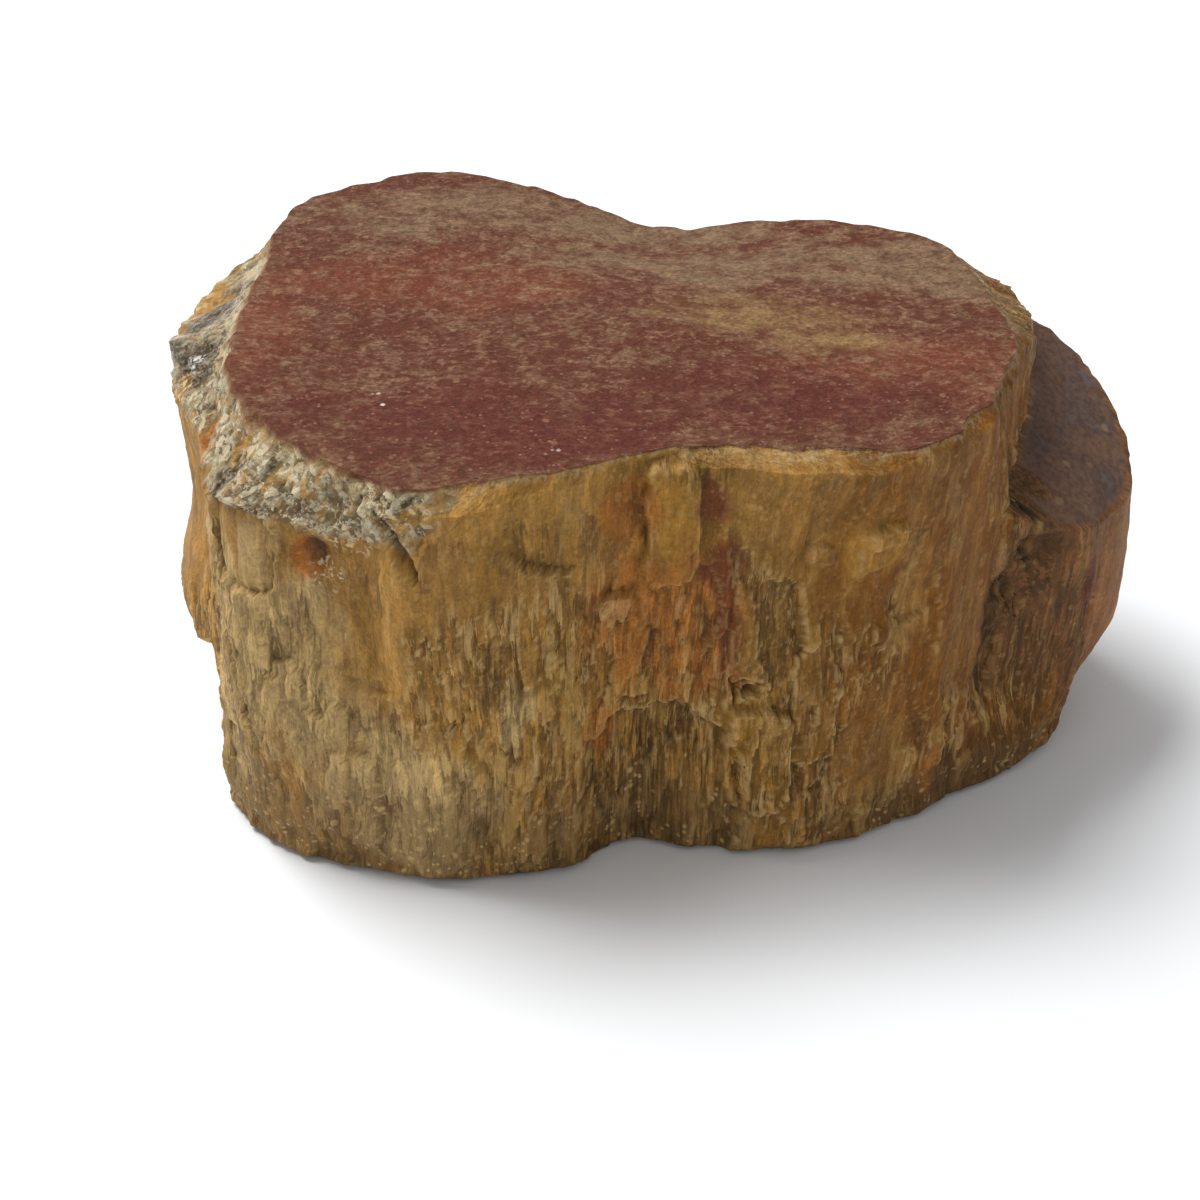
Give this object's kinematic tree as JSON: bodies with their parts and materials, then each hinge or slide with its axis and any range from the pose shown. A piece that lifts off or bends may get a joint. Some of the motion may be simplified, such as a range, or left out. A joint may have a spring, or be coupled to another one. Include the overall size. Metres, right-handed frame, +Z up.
{
  "type": "rough tiger's eye",
  "caption": "Rough lump of fibrous tiger's eye quartz with a flat weathered top, splintered upright sides, a chipped shoulder and a lower lobe; rests on its flat base.",
  "frame": {"origin": "centre of the bounding box at the base, where the stone rests", "axes": "+X along the stone's length towards its lower lobe, +Z up along the fibres, from the base to the red top; -Y is the front"},
  "size_m": [0.0516, 0.0358, 0.0242],
  "materials": {
    "tigers_eye": "silky fibrous brown-gold broken sides, matt maroon weathered top"
  },
  "bodies": {
    "root": {"tigers_eye": "tigers_eye"}
  },
  "joints": []
}
